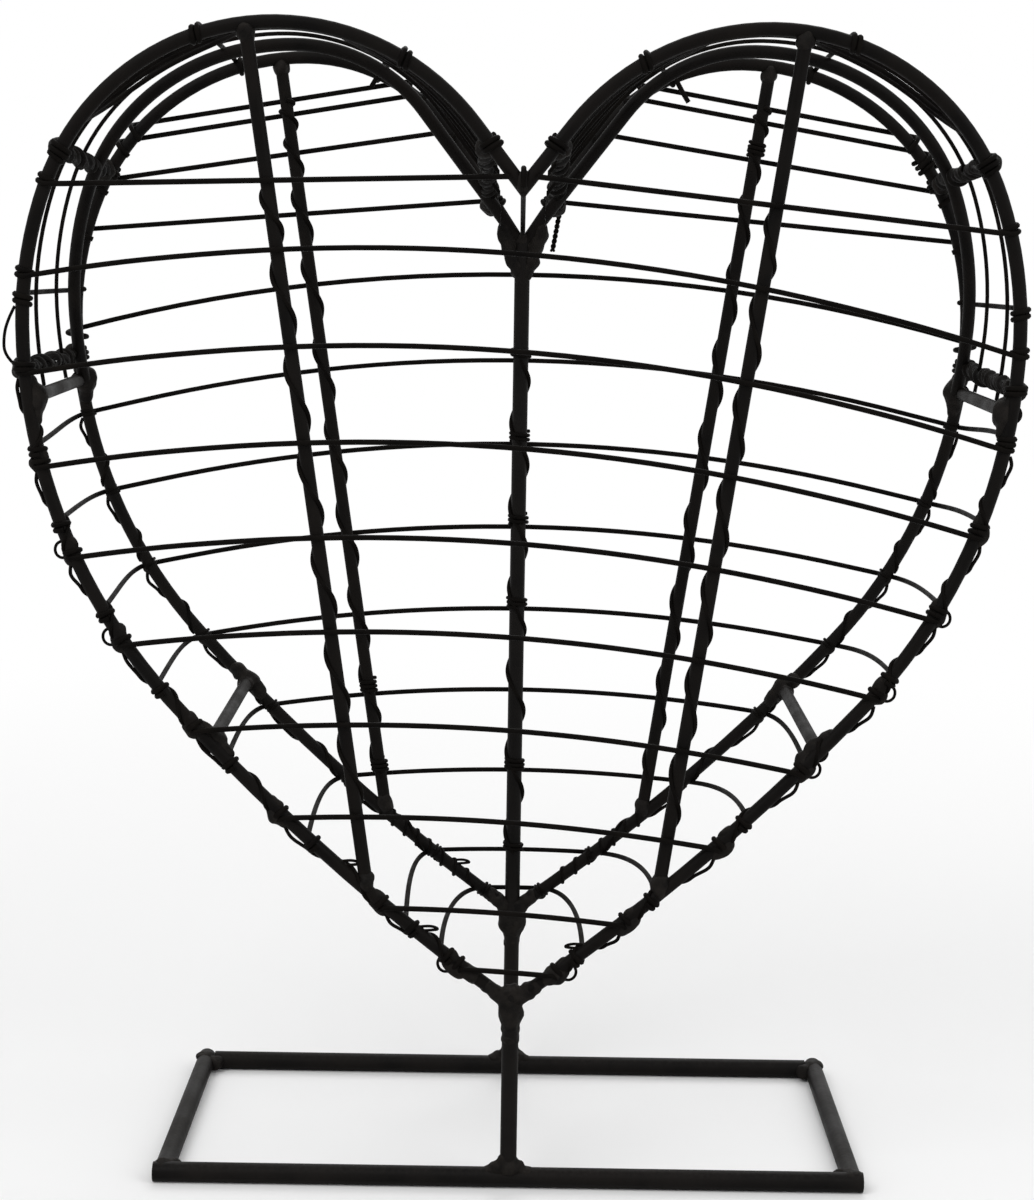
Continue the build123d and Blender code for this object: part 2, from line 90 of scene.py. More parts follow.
def makeFloor(s):
    bm = bmesh.new()
    bmesh.ops.create_grid(bm, x_segments=1, y_segments=1, size=s["floorHalf"])
    mesh = bpy.data.meshes.new("floor")
    bm.to_mesh(mesh)
    bm.free()
    floor = bpy.data.objects.new("floor", mesh)
    scene.collection.objects.link(floor)
    mat = bpy.data.materials.new("paleFloor")
    mat.use_nodes = True
    tree = mat.node_tree
    shader = tree.nodes["Principled BSDF"]
    shader.inputs["Base Color"].default_value = s["floorColor"]
    shader.inputs["Roughness"].default_value = s["floorRough"]
    shader.inputs["Specular IOR Level"].default_value = s["floorSpec"]
    # the floor turns to the white of the room away from the object
    coords = tree.nodes.new("ShaderNodeTexCoord")
    far = tree.nodes.new("ShaderNodeVectorMath")
    far.operation = "LENGTH"
    tree.links.new(coords.outputs["Object"], far.inputs[0])
    share = tree.nodes.new("ShaderNodeMapRange")
    share.interpolation_type = "SMOOTHSTEP"
    share.inputs["From Min"].default_value = s["fade"][0]
    share.inputs["From Max"].default_value = s["fade"][1]
    tree.links.new(far.outputs["Value"], share.inputs["Value"])
    white = tree.nodes.new("ShaderNodeEmission")
    blend = tree.nodes.new("ShaderNodeMixShader")
    tree.links.new(share.outputs["Result"], blend.inputs["Fac"])
    tree.links.new(shader.outputs["BSDF"], blend.inputs[1])
    tree.links.new(white.outputs["Emission"], blend.inputs[2])
    tree.links.new(blend.outputs["Shader"], tree.nodes["Material Output"].inputs["Surface"])
    mesh.materials.append(mat)


def makeWorld(s):
    world = bpy.data.worlds.new("softRoom")
    scene.world = world
    world.use_nodes = True
    tree = world.node_tree
    back = tree.nodes["Background"]
    back.inputs["Color"].default_value = (1, 1, 1, 1)
    path = tree.nodes.new("ShaderNodeLightPath")
    seen = tree.nodes.new("ShaderNodeMath")
    seen.operation = "MAXIMUM"
    tree.links.new(path.outputs["Is Camera Ray"], seen.inputs[0])
    tree.links.new(path.outputs["Is Glossy Ray"], seen.inputs[1])
    level = tree.nodes.new("ShaderNodeMapRange")
    level.inputs["To Min"].default_value = s["worldFill"]
    level.inputs["To Max"].default_value = 1.0
    tree.links.new(seen.outputs[0], level.inputs["Value"])
    tree.links.new(level.outputs["Result"], back.inputs["Strength"])


def makeLamps(s):
    for lamp in s["lamps"]:
        data = bpy.data.lights.new(lamp["name"], "AREA")
        data.shape = "DISK"
        data.size = lamp["size"]
        data.energy = lamp["power"]
        obj = bpy.data.objects.new(lamp["name"], data)
        away = Vector(lamp["place"]) - Vector(lamp["aim"])
        turn = away.to_track_quat("Z", "Y").to_matrix().to_4x4()
        obj.matrix_world = Matrix.Translation(lamp["place"]) @ turn
        scene.collection.objects.link(obj)


makeFloor(stageSet)
makeWorld(stageSet)
makeLamps(stageSet)
scene.view_settings.view_transform = "Standard"
print("stage set")

# finishes: brushed-on black enamel, thicker on the bars, thin and scuffed on the wire
# each finish's dust colour is dust and painted top light, laid lighter on the faces that look up
finishes = {
    "bar_enamel": {
        "dark": (0.0020, 0.0016, 0.0014, 1), "pale": (0.0075, 0.0062, 0.0054, 1),
        "dustAndTopLight": (0.050, 0.045, 0.041, 1), "dustAndTopLightShare": 0.16,
        "gloss": (0.42, 0.68), "spec": 0.08, "grain": 900, "cloud": 45, "bump": 0.16,
    },
    "rod_enamel": {
        "dark": (0.0018, 0.0014, 0.0012, 1), "pale": (0.0062, 0.0050, 0.0042, 1),
        "dustAndTopLight": (0.040, 0.036, 0.032, 1), "dustAndTopLightShare": 0.10,
        "gloss": (0.44, 0.70), "spec": 0.06, "grain": 1100, "cloud": 60, "bump": 0.14,
    },
    "wire_enamel": {
        "dark": (0.0020, 0.0016, 0.0014, 1), "pale": (0.0060, 0.0050, 0.0042, 1),
        "dustAndTopLight": (0.040, 0.036, 0.032, 1), "dustAndTopLightShare": 0.10,
        "gloss": (0.50, 0.78), "spec": 0.03, "grain": 1500, "cloud": 110, "bump": 0.12,
    },
    "weld_enamel": {
        "dark": (0.0030, 0.0025, 0.0022, 1), "pale": (0.0140, 0.0120, 0.0105, 1),
        "dustAndTopLight": (0.065, 0.059, 0.053, 1), "dustAndTopLightShare": 0.22,
        "gloss": (0.52, 0.82), "spec": 0.07, "grain": 1300, "cloud": 260, "bump": 0.40,
    },
}
# what the four have in common: spans of the noise, and depths of the bumps in metres
brushwork = {
    "cloudDetail": 4, "grainDetail": 3, "rough": 0.6,
    "shade": (0.35, 0.70), "sheen": (0.30, 0.72),
    "upward": (0.35, 1.0), "patch": (0.40, 0.66), "leastPatch": 0.2,
    "peelDepth": 0.0003, "runDepth": 0.0010, "runShare": 1.5,
}


def addNoise(tree, coords, scale, detail, rough):
    tex = tree.nodes.new("ShaderNodeTexNoise")
    tex.inputs["Scale"].default_value = scale
    tex.inputs["Detail"].default_value = detail
    tex.inputs["Roughness"].default_value = rough
    tree.links.new(coords.outputs["Object"], tex.inputs["Vector"])
    return tex


def addRamp(tree, source, span, low, high):
    ramp = tree.nodes.new("ShaderNodeMapRange")
    ramp.inputs["From Min"].default_value = span[0]
    ramp.inputs["From Max"].default_value = span[1]
    ramp.inputs["To Min"].default_value = low
    ramp.inputs["To Max"].default_value = high
    tree.links.new(source, ramp.inputs["Value"])
    return ramp


def addMix(tree, share, first, second):
    mix = tree.nodes.new("ShaderNodeMix")
    mix.data_type = "RGBA"
    tree.links.new(share, mix.inputs["Factor"])
    for value, place in ((first, 6), (second, 7)):  # the two colour sockets
        if isinstance(value, tuple):
            mix.inputs[place].default_value = value
        else:
            tree.links.new(value, mix.inputs[place])
    return mix


def addBump(tree, source, strength, depth):
    bump = tree.nodes.new("ShaderNodeBump")
    bump.inputs["Strength"].default_value = strength
    bump.inputs["Distance"].default_value = depth
    tree.links.new(source, bump.inputs["Height"])
    return bump


def makeEnamel(name, s):
    b = brushwork
    mat = bpy.data.materials.new(name)
    mat.use_nodes = True
    tree = mat.node_tree
    shader = tree.nodes["Principled BSDF"]
    coords = tree.nodes.new("ShaderNodeTexCoord")
    cloud = addNoise(tree, coords, s["cloud"], b["cloudDetail"], b["rough"])
    grain = addNoise(tree, coords, s["grain"], b["grainDetail"], b["rough"])
    # brush marks and thin places change the black a little
    shade = addRamp(tree, cloud.outputs["Fac"], b["shade"], 0, 1)
    paint = addMix(tree, shade.outputs["Result"], s["dark"], s["pale"])
    # a little dust on what faces up, with painted top light: upward faces are made lighter, standing in for
    # the bright room seen in their tops
    geo = tree.nodes.new("ShaderNodeNewGeometry")
    split = tree.nodes.new("ShaderNodeSeparateXYZ")
    tree.links.new(geo.outputs["Normal"], split.inputs["Vector"])
    up = addRamp(tree, split.outputs["Z"], b["upward"], 0, s["dustAndTopLightShare"])
    patch = addRamp(tree, grain.outputs["Fac"], b["patch"], b["leastPatch"], 1)
    dustAndTopLightMask = tree.nodes.new("ShaderNodeMath")
    dustAndTopLightMask.operation = "MULTIPLY"
    tree.links.new(up.outputs["Result"], dustAndTopLightMask.inputs[0])
    tree.links.new(patch.outputs["Result"], dustAndTopLightMask.inputs[1])
    color = addMix(tree, dustAndTopLightMask.outputs["Value"], paint.outputs[2], s["dustAndTopLight"])
    tree.links.new(color.outputs[2], shader.inputs["Base Color"])
    gloss = addRamp(tree, cloud.outputs["Fac"], b["sheen"], *s["gloss"])
    tree.links.new(gloss.outputs["Result"], shader.inputs["Roughness"])
    shader.inputs["Specular IOR Level"].default_value = s["spec"]
    # orange peel over slower runs in the paint
    peel = addBump(tree, grain.outputs["Fac"], s["bump"], b["peelDepth"])
    runs = addBump(tree, cloud.outputs["Fac"], s["bump"] * b["runShare"], b["runDepth"])
    tree.links.new(peel.outputs["Normal"], runs.inputs["Normal"])
    tree.links.new(runs.outputs["Normal"], shader.inputs["Normal"])
    return mat


enamels = {name: makeEnamel(name, s) for name, s in finishes.items()}
for part in frame["record"]["subparts"]:
    obj = nodes[part["node"]]
    obj.data.materials.clear()
    obj.data.materials.append(enamels[part["material_slot"]])
print("finishes on", len(nodes), "nodes")

# the two outlines, as the rods' centrelines
heart = {
    "crownOffset": 0.070, "widest": 0.256, "tip": 0.0575,
    "shoulderTurn": 20.0, "flankTurn": 42.0, "tipTurn": 54.4,
    "front": {"y": -0.050, "half": 0.1427, "crown": 0.3420, "cleft": 0.297, "slant": 52.0},
    "back": {"y": 0.050, "half": 0.1455, "crown": 0.3395, "cleft": 0.280, "slant": 56.4},
    "rod": 0.0020, "stem": 0.0025, "bar": 0.0030, "wire": 0.0008,
    "edge": 0.0001,  # searches along a rod stop this far from its ends
}
sides = (("left", -1), ("right", 1))
toBack = Vector((0, 1, 0))
perTurn = 8  # points in one turn of wound wire
hug = 0.927  # radius of the drawn turn, as a share of the radius on which its points lie


def lobeRadii(face):
    # radii of the two bends from the crown to the widest point
    h = heart[face]
    turn = radians(heart["shoulderTurn"])
    reach, drop = h["half"] - heart["crownOffset"], h["crown"] - heart["widest"]
    split = cos(turn) + sin(turn) - 1
    return ((reach * sin(turn) - drop * (1 - cos(turn))) / split,
            (drop * cos(turn) - reach * (1 - sin(turn))) / split)


def flankRadii(face):
    # radii of the two bends from the widest point to the tip
    half = heart[face]["half"]
    flank, point = radians(heart["flankTurn"]), radians(heart["tipTurn"])
    fall = heart["widest"] - heart["tip"]
    across, down = cos(flank) - cos(point), sin(point) - sin(flank)
    spread = sin(flank) * across - (1 - cos(flank)) * down
    return ((fall * across - half * down) / spread,
            (half * sin(flank) - fall * (1 - cos(flank))) / spread)


def bendAt(face, height):
    # centre and radius of the bend that the rod has at a height on the outer side
    h = heart[face]
    lobe, shoulder = lobeRadii(face)
    if height > heart["widest"] + shoulder * sin(radians(heart["shoulderTurn"])):
        return Vector((heart["crownOffset"], 0, h["crown"] - lobe)), lobe
    if height > heart["widest"]:
        return Vector((h["half"] - shoulder, 0, heart["widest"])), shoulder
    upper, lower = flankRadii(face)
    flank = radians(heart["flankTurn"])
    hub = Vector((h["half"] - upper, 0, heart["widest"]))
    if height > heart["widest"] - upper * sin(flank):
        return hub, upper
    return hub + Vector((cos(flank), 0, -sin(flank))) * (upper - lower), lower


def flankSpot(face, height, side):
    # centre of the rod at a height on the outer side, its outward and its upward directions
    hub, radius = bendAt(face, height)
    rise = height - hub.z
    arm = Vector(((radius ** 2 - rise ** 2) ** 0.5, 0, rise))
    spot, out = hub + arm, arm / radius
    return (Vector((side * spot.x, heart[face]["y"], spot.z)), Vector((side * out.x, 0, out.z)),
            Vector((-side * out.z, 0, out.x)))


def lobeSpot(face, angle, side):
    # the same on a lobe, by the direction that the rod faces there
    h = heart[face]
    radius = lobeRadii(face)[0]
    out = Vector((side * cos(radians(angle)), 0, sin(radians(angle))))
    hub = Vector((side * heart["crownOffset"], h["y"], h["crown"] - radius))
    return hub + out * radius, out, Vector((-side * sin(radians(angle)), 0, cos(radians(angle))))


def innerSpot(face, offset, side):
    # the same between crown and cleft, by the distance from the middle
    h = heart[face]
    slant = radians(h["slant"])
    radius = (heart["crownOffset"] * tan(slant) - (h["crown"] - h["cleft"])) / (1 / cos(slant) - 1)
    lean = asin(min(sin(slant), (heart["crownOffset"] - offset) / radius))
    # below the bend the rod is straight
    straight = heart["crownOffset"] - offset - radius * sin(lean)
    spot = Vector((side * offset, h["y"], h["crown"] - radius * (1 - cos(lean)) - straight * tan(lean)))
    return spot, Vector((-side * sin(lean), 0, cos(lean))), Vector((-side * cos(lean), 0, -sin(lean)))


def turnsRound(spot, out, side, along, start, turns, radius, pitch):
    # points wound round a straight stretch of rod
    count = max(2, round(abs(turns) * perTurn))
    points = []
    for i in range(count + 1):
        t = turns * i / count
        angle = start + 2 * pi * t
        points.append(spot + (out * cos(angle) + side * sin(angle)) * (radius / hug) + along * (pitch * t))
    return points


def link(name, mesh, slotName, replaced=()):
    mesh.shade_smooth()
    mesh.materials.clear()
    mesh.materials.append(enamels[slotName])
    obj = bpy.data.objects.new(name, mesh)
    scene.collection.objects.link(obj)
    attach(obj, "root")
    if replaced:
        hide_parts(*replaced)


def settle(obj, name):
    # the finished mesh of a draft, which is then removed
    mesh = bpy.data.meshes.new_from_object(obj.evaluated_get(bpy.context.evaluated_depsgraph_get()))
    bpy.data.objects.remove(obj)
    mesh.name = name
    return mesh


def makeWires(name, routes, radius, replaced=()):
    data = bpy.data.curves.new(name + "Route", "CURVE")
    data.dimensions = "3D"
    data.bevel_depth = radius
    data.bevel_resolution = 2
    data.resolution_u = 4
    data.use_fill_caps = True
    for points in routes:
        spline = data.splines.new("NURBS")
        spline.points.add(len(points) - 1)
        for p, q in zip(spline.points, points):
            p.co = (q.x, q.y, q.z, 1)
        spline.order_u = 3
        spline.use_endpoint_u = True
    route = bpy.data.objects.new(name + "Route", data)
    scene.collection.objects.link(route)
    link(name, settle(route, name), "wire_enamel", replaced)


def halve(low, high, isHigh):
    # the value between two others where a test turns true
    for i in range(40):
        middle = (low + high) / 2
        if isHigh(middle):
            high = middle
        else:
            low = middle
    return low


# the wires across the faces: heights at the middle, radius of the bow and slope
# steps are the places of their points, as shares of the half width
rowSet = {
    "pitch": 0.0276, "count": 8,
    "front": {"first": 0.2787, "bow": 0.560, "slope": -0.065, "tipRise": 0.0101,
              "steps": (-0.9, -0.75, -0.5, -0.25, 0, 0.25, 0.5, 0.75, 0.9)},
    "back": {"first": 0.2711, "bow": 0.520, "slope": 0.0, "tipRise": 0.0070,
             "steps": (-0.75, -0.5, -0.25, 0, 0.25, 0.5, 0.75)},
    "backLobe": [(0.3271, -0.17), (0.3225, -0.17), (0.3099, -0.155), (0.2899, -0.085)],
    "frontTop": {"left": (0.2980, -0.031), "right": (0.2932, -0.104)},
    "behind": 0.0035,
}
rowNames = ["course_" + str(i + 1) for i in range(rowSet["count"])] + ["tip_course"]


def rowCurve(face, index):
    s = rowSet[face]
    middle = s["first"] - index * rowSet["pitch"]
    if index == rowSet["count"]:
        middle = heart["tip"] + s["tipRise"]
    return lambda x: middle + s["slope"] * x - x * x / (2 * s["bow"])


def lobeCurve(row):
    return lambda x: row[0] + row[1] * (abs(x) - heart["crownOffset"])


def rowEnd(face, curve, side):
    # where a wire meets the rod
    low, high = heart["tip"] + heart["edge"], heart[face]["crown"] - heart["edge"]
    return flankSpot(face, halve(low, high, lambda h: h > curve(flankSpot(face, h, side)[0].x)), side)


def rowWire(face, index):
    return face + ("TipWire" if index == rowSet["count"] else "Wire" + str(index + 1))


# each wire of the back runs on past the back rod and bends forward to the front rod, at these heights
flankSet = {
    "left": [0.2212, 0.1995, 0.1735, 0.1515, 0.1295, 0.1060, 0.0805, 0.0722],
    "right": [0.2283, 0.2030, 0.1785, 0.1580, 0.1305, 0.1140, 0.0900, 0.0722],
    "runOn": 0.009, "pull": 0.055, "stand": 0.002, "steps": (0.12, 0.26, 0.40, 0.55, 0.70, 0.85),
    "turns": 1.3, "pitch": 0.0017, "gap": -0.0006,
    "tie": {"wire": 0.00050, "turns": 1.8, "pitch": 0.0012, "shift": 0.00115, "deep": 1.52, "gap": -0.0004,
            "phase": 1.7},
}


def flankBow(b, run, f):
    # a smooth bend from the run of the wire behind the rod to the forward run along the flank
    s = flankSet
    side = 1 if run.x > 0 else -1
    bend = [b, b + run * s["runOn"], f + Vector((side * s["stand"], s["pull"], 0)), f]
    points = []
    for t in s["steps"]:
        u = 1 - t
        shares = (u ** 3, 3 * u * u * t, 3 * u * t * t, t ** 3)
        points.append(sum((p * share for p, share in zip(bend, shares)), Vector()))
    return points


def flankTie(spot, out, along, phase):
    # thin wire that holds the run-on to the back rod
    t = flankSet["tie"]
    hub = spot + toBack * t["shift"] - along * t["pitch"] * t["turns"] / 2
    bound = heart["rod"] + t["wire"] + t["gap"]
    return turnsRound(hub, out, toBack * t["deep"], along, phase, t["turns"], bound, t["pitch"])


def makeBackRows(s):
    reach = heart["rod"] + heart["wire"] + s["gap"]
    wireY = heart["back"]["y"] + rowSet["behind"]
    ties = []
    for index in range(1, rowSet["count"] + 1):
        curve = rowCurve("back", index)
        halves = {}
        for name, side in sides:
            f = flankSpot("front", s[name][index - 1], side)
            spot, out, along = rowEnd("back", curve, side)
            b = Vector((spot.x, wireY, spot.z))
            run = Vector((side, 0, -abs(spot.x) / rowSet["back"]["bow"])).normalized()
            wound = turnsRound(f[0], f[1], toBack, f[2], 0, -s["turns"], reach, s["pitch"])
            halves[name] = [b, *flankBow(b, run, wound[0]), *wound]
            ties.append(flankTie(spot, out, along, index * s["tie"]["phase"]))
        half = halves["right"][0].x
        steps = [half * share for share in rowSet["back"]["steps"]]
        middle = [Vector((x, wireY, curve(x))) for x in steps]
        replaced = ["back_" + rowNames[index]]
        if index == 1:
            replaced += ["left_side_wires", "right_side_wires"]
        route = [*reversed(halves["left"]), *middle, *halves["right"]]
        makeWires(rowWire("back", index), [route], heart["wire"], replaced)
    makeWires("backRowTies", ties, s["tie"]["wire"])


makeBackRows(flankSet)
print("back wires made, with their runs along the flanks")

# the wires across the front lie on the rods and go once round them, pressed in by the paint
frontSet = {"turns": 1.35, "pitch": 0.0018, "gap": -0.0006, "topEnd": 0.0040, "topSteps": (0, 0.3, 0.6, 0.9)}


def frontEnd(curve, side):
    # from the crossing of the rod, over its outer side and round it
    s = frontSet
    spot, out, along = rowEnd("front", curve, side)
    reach = heart["rod"] + heart["wire"] + s["gap"]
    return turnsRound(spot, out, toBack, along, -pi / 2, s["turns"], reach, s["pitch"])


def makeFrontRows(s):
    wireY = heart["front"]["y"] - heart["rod"] - heart["wire"]
    for index, row in enumerate(rowNames):
        curve = rowCurve("front", index)
        left, right = frontEnd(curve, -1), frontEnd(curve, 1)
        steps = [abs(share) * (left if share < 0 else right)[0].x for share in rowSet["front"]["steps"]]
        middle = [Vector((x, wireY, curve(x))) for x in steps]
        route = [*reversed(left), *middle, *right]
        makeWires(rowWire("front", index), [route], heart["wire"], ("front_" + row,))
    for name, side in sides:
        curve = lobeCurve(rowSet["frontTop"][name])
        end = frontEnd(curve, side)
        first = side * s["topEnd"]
        steps = [first + (end[0].x - first) * t for t in s["topSteps"]]
        route = [Vector((x, wireY, curve(x))) for x in steps] + end
        node = "front_" + name + "_top_course"
        makeWires("front" + name.capitalize() + "TopWire", [route], heart["wire"], (node,))


makeFrontRows(frontSet)
print("front wires made")

# ties from the front rod to the back rod, over the rim
# places on the two rods: low by height, middle and high by direction, inner by distance from the middle
tieSet = {
    "low": (0.2648, 0.2637), "middle": (28.5, 29.5), "high": (72.0, 72.0), "inner": (0.035, 0.046),
    "frontTurns": 1.6, "backTurns": 1.2, "pitch": 0.0017, "gap": -0.0006, "stand": 0.0002,
    "steps": (0.04, 0.35, 0.65, 0.96),
}


def tieRoute(f, b, s, way):
    thick = heart["rod"] + heart["wire"]
    first = turnsRound(f[0], f[1], toBack, f[2], 0, -s["frontTurns"], thick + s["gap"], way * s["pitch"])
    last = turnsRound(b[0], b[1], toBack, b[2], 0, s["backTurns"], thick + s["gap"], way * s["pitch"])
    a, z = f[0] + f[1] * (thick + s["stand"]), b[0] + b[1] * (thick + s["stand"])
    return [*reversed(first), *(a.lerp(z, t) for t in s["steps"]), *last]


def makeTies(s):
    kinds = (("low", flankSpot, 1), ("middle", lobeSpot, 1), ("high", lobeSpot, 1), ("inner", innerSpot, -1))
    for name, side in sides:
        routes = []
        for key, spotAt, way in kinds:
            f, b = spotAt("front", s[key][0], side), spotAt("back", s[key][1], side)
            routes.append(tieRoute(f, b, s, way))
        makeWires(name + "Ties", routes, heart["wire"], (name + "_ties",))


makeTies(tieSet)
print("ties made")

# weld lumps where rods and bars meet, run together and smoothed
weldSet = {"lump": 0.0009, "scale": 380.0, "rings": 3, "grid": 0.00045, "smooth": 4}


def addLump(bm, spot, size, axis=Vector((0, 0, 1))):
    turn = axis.to_track_quat("Z", "Y").to_matrix().to_4x4()
    place = Matrix.Translation(spot) @ turn @ Matrix.Diagonal((size[0], size[1], size[2], 1))
    made = bmesh.ops.create_icosphere(bm, subdivisions=weldSet["rings"], radius=1, matrix=place)
    for v in made["verts"]:
        away = (v.co - spot).normalized()
        v.co += away * noise.noise(v.co * weldSet["scale"]) * weldSet["lump"]


def makeWelds(name, lumps, replaced=()):
    bm = bmesh.new()
    for lump in lumps:
        addLump(bm, *lump)
    mesh = bpy.data.meshes.new(name + "Lumps")
    bm.to_mesh(mesh)
    bm.free()
    draft = bpy.data.objects.new(name + "Lumps", mesh)
    scene.collection.objects.link(draft)
    melt = draft.modifiers.new("melt", "REMESH")
    melt.mode = "VOXEL"
    melt.voxel_size = weldSet["grid"]
    flow = draft.modifiers.new("flow", "SMOOTH")
    flow.iterations = weldSet["smooth"]
    link(name, settle(draft, name), "weld_enamel", replaced)


# corners of the foot: across, inward and up from where the bars cross, and size
cornerSet = [
    ((0.0030, 0.0030, 0), (0.0032, 0.0032, 0.0026)),
    ((0, 0.0012, 0.0018), (0.0031, 0.0036, 0.0016)),
]


def cornerLumps(s):
    lumps = []
    for node in ("base_left_bar", "base_right_bar"):
        lo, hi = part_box(node)
        x = (lo.x + hi.x) / 2
        inward = -1 if x > 0 else 1
        for y, into in ((heart["front"]["y"], 1), (heart["back"]["y"], -1)):
            for (across, deep, up), size in s:
                lumps.append((Vector((x + inward * across, y + into * deep, heart["bar"] + up)), size))
    return lumps


# feet of the stems: across, behind and height, and size
footSet = {
    "round": [
        ((0.0026, 0, 0.0058), (0.0030, 0.0027, 0.0026)),
        ((0.0052, 0, 0.0052), (0.0026, 0.0024, 0.0012)),
        ((0, 0.0019, 0.0060), (0.0027, 0.0016, 0.0026)),
    ],
    "height": 0.0082, "size": (0.0029, 0.0029, 0.0030),
}


def footLumps(s):
    lumps = []
    for face in ("front", "back"):
        y = heart[face]["y"]
        for side in (-1, 1):
            for (across, deep, height), size in s["round"]:
                lumps.append((Vector((side * across, y + side * deep, height)), size))
        lumps.append((Vector((0, y, s["height"])), s["size"]))
    return lumps


# ends of the spacers: the weld fills the inside of the corner and runs along the rod
spacerSet = {
    "wide": {"upper": 0.0037, "lower": 0.0028}, "tall": 1.25, "in": 0.0018, "deep": 0.0020,
    "collarDeep": 0.0046, "collar": (0.0027, 0.0027, 0.0024),
    "runs": [(0.0010, -0.0046, (0.0024, 0.0026, 0.0036)), (0.0006, 0.0042, (0.0025, 0.0026, 0.0034))],
    "runDeep": 0.0012,
}


def spacerLumps(s):
    lumps = []
    for level, wide in s["wide"].items():
        for name, side in sides:
            lo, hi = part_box(level + "_" + name + "_spacer")
            height = (lo.z + hi.z) / 2
            for face, into in (("front", 1), ("back", -1)):
                spot, out, along = flankSpot(face, height, side)
                deep = Vector((0, into, 0))
                lumps.append((spot - out * s["in"] + deep * s["deep"], (wide, wide, wide * s["tall"]), along))
                lumps.append((spot + deep * s["collarDeep"], s["collar"]))
                for inset, rise, size in s["runs"]:
                    lumps.append((spot - out * inset + along * rise + deep * s["runDeep"], size, along))
    return lumps


# ribs, from the flank to the lobe: distances of their ends from the middle, and the welds on the ends
ribSet = {
    "footOffset": 0.043, "topOffset": 0.079,
    "foot": (0.0030, (0.0032, 0.0027, 0.0040)), "top": (0.0026, (0.0030, 0.0027, 0.0034)),
}


def ribAxis(face, side):
    low, high = heart["tip"] + heart["edge"], heart["widest"] - heart["edge"]
    height = halve(low, high, lambda h: flankSpot(face, h, 1)[0].x > ribSet["footOffset"])
    angle = halve(heart["shoulderTurn"], 90, lambda a: lobeSpot(face, a, 1)[0].x < ribSet["topOffset"])
    return flankSpot(face, height, side)[0], lobeSpot(face, angle, side)[0]


def ribLumps(s):
    lumps = []
    for face in ("front", "back"):
        for side in (-1, 1):
            foot, top = ribAxis(face, side)
            axis = (top - foot).normalized()
            lumps.append((top - axis * s["top"][0], s["top"][1], axis))
            lumps.append((foot + axis * s["foot"][0], s["foot"][1], axis))
    return lumps


# tips and clefts, where the two halves of an outline meet on a stem
meetSet = {
    "limb": [(0.0030, 0.0029), (0.0058, 0.0026), (0.0084, 0.0023)], "limbTall": 0.0030,
    "stem": [(0.0010, 0.0033), (0.0040, 0.0031), (0.0075, 0.0029), (0.0110, 0.0027)], "stemTall": 0.0032,
    "frontTip": [(0.0013, -0.0024, (0.0027, 0.0028, 0.0056)), (0.0010, 0.0036, (0.0022, 0.0028, 0.0022))],
    "frontLimb": (0.0150, (0.0028, 0.0027, 0.0040)),
    "backTip": (0.0021, -0.0036, (0.0026, 0.0032, 0.0046)),
    # the weld under the back cleft tapers from the two rods to the spine
    "backCleft": [(0.0060, 0.0046, (0.0027, 0.0028, 0.0036)), (0.0042, 0.0006, (0.0028, 0.0028, 0.0040)),
                  (0.0031, -0.0036, (0.0026, 0.0028, 0.0040)), (0.0017, -0.0072, (0.0024, 0.0028, 0.0034))],
    "cleft": (0.0016, (0.0028, 0.0027, 0.0034)),
}


def meetingLumps(s):
    lumps = []
    lean = radians(heart["tipTurn"])
    for face in ("front", "back"):
        h = heart[face]
        tip = Vector((0, h["y"], heart["tip"]))
        cleft = Vector((0, h["y"], h["cleft"]))
        for side in (-1, 1):
            limb = Vector((side * sin(lean), 0, cos(lean)))
            for far, wide in s["limb"]:
                lumps.append((tip + limb * far, (wide, wide, s["limbTall"]), limb))
            if face == "front":
                for across, up, size in s["frontTip"]:
                    lumps.append((tip + Vector((side * across, 0, up)), size))
                lumps.append((tip + limb * s["frontLimb"][0], s["frontLimb"][1], limb))
            else:
                across, up, size = s["backTip"]
                lumps.append((tip + Vector((side * across, 0, up)), size))
                for across, up, size in s["backCleft"]:
                    lumps.append((cleft + Vector((side * across, 0, up)), size))
        for down, wide in s["stem"]:
            lumps.append((tip - Vector((0, 0, down)), (wide, wide, s["stemTall"])))
        lumps.append((cleft + Vector((0, 0, s["cleft"][0])), s["cleft"][1]))
    return lumps


# paint gathered under the turns at the ends of the cross wires, more of it lower down
turnSet = {
    "firstRow": 2, "rough": 0.45, "wide": 0.0015, "wider": 0.00009, "stretch": 1.9,
    "frontOut": 0.0016, "frontUp": 0.0012,
    "runIn": 0.0010, "runUp": 0.0042, "run": (0.0016, 0.0016, 0.0030),
    "backOut": 0.0012, "backDown": 0.0010, "back": (0.0013, 0.0014, 0.0026),
}


def turnLumps(s):
    lumps = []
    for side in (-1, 1):
        for index in range(s["firstRow"], rowSet["count"] + 1):
            rough = 1 + s["rough"] * noise.noise(Vector((index * 3.1, side * 5.7, 2)))
            wide = (s["wide"] + s["wider"] * index) * rough
            spot, out, along = rowEnd("front", rowCurve("front", index), side)
            size = (wide, wide, wide * s["stretch"])
            lumps.append((spot + out * s["frontOut"] + along * s["frontUp"], size, along))
            lumps.append((spot - out * s["runIn"] + along * s["runUp"] * rough, s["run"], along))
            spot, out, along = rowEnd("back", rowCurve("back", index), side)
            size = (s["back"][0] * rough, s["back"][1], s["back"][2])
            lumps.append((spot + out * s["backOut"] - along * s["backDown"], size, along))
    return lumps


makeWelds("footCornerWelds", cornerLumps(cornerSet), ("base_corner_welds",))
makeWelds("stemFootWelds", footLumps(footSet), ("leg_foot_welds",))
makeWelds("spacerWelds", spacerLumps(spacerSet))
makeWelds("ribWelds", ribLumps(ribSet))
makeWelds("meetingWelds", meetingLumps(meetSet))
makeWelds("turnPaint", turnLumps(turnSet))
print("welds made")

